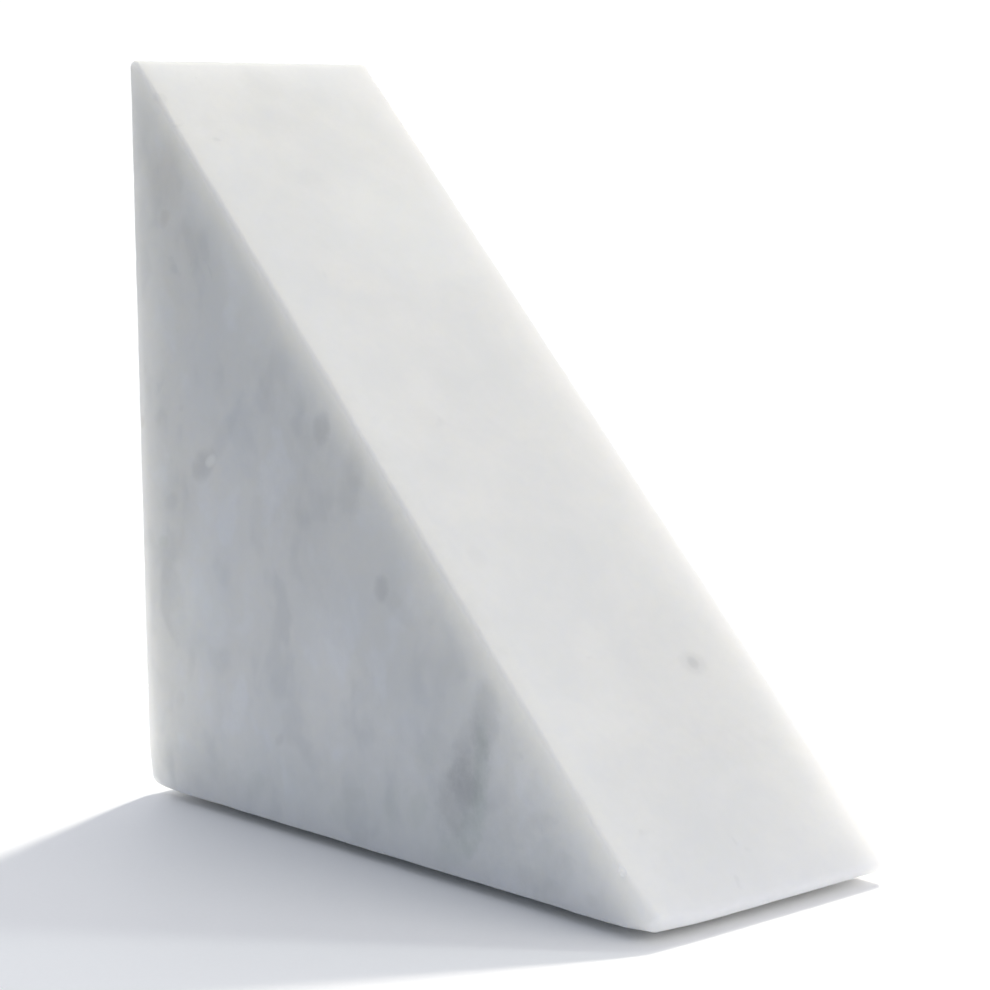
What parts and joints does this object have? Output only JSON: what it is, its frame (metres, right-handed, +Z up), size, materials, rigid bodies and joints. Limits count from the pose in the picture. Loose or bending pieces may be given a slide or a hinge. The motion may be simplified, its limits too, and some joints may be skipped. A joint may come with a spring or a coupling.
{
  "type": "bookend",
  "caption": "Right-angled wedge of solid white marble with an upright face for books to lean on, standing on small felt pads.",
  "frame": {"origin": "on the surface the bookend stands on, under the middle of its footprint", "axes": "+Z up; -X out of the upright face that the books lean on, +X towards the toe of the slope; Y across the width, between the two triangular faces"},
  "size_m": [0.127, 0.0508, 0.1286],
  "materials": {
    "marble": "satin",
    "felt": "matte",
    "adhesive": "satin"
  },
  "bodies": {
    "root": {"marble_block": "marble", "felt_pad_heel_front": "felt", "felt_pad_heel_back": "felt", "felt_pad_toe_front": "felt", "felt_pad_toe_back": "felt", "adhesive_film_heel_front": "adhesive", "adhesive_film_heel_back": "adhesive", "adhesive_film_toe_front": "adhesive", "adhesive_film_toe_back": "adhesive"}
  },
  "joints": []
}
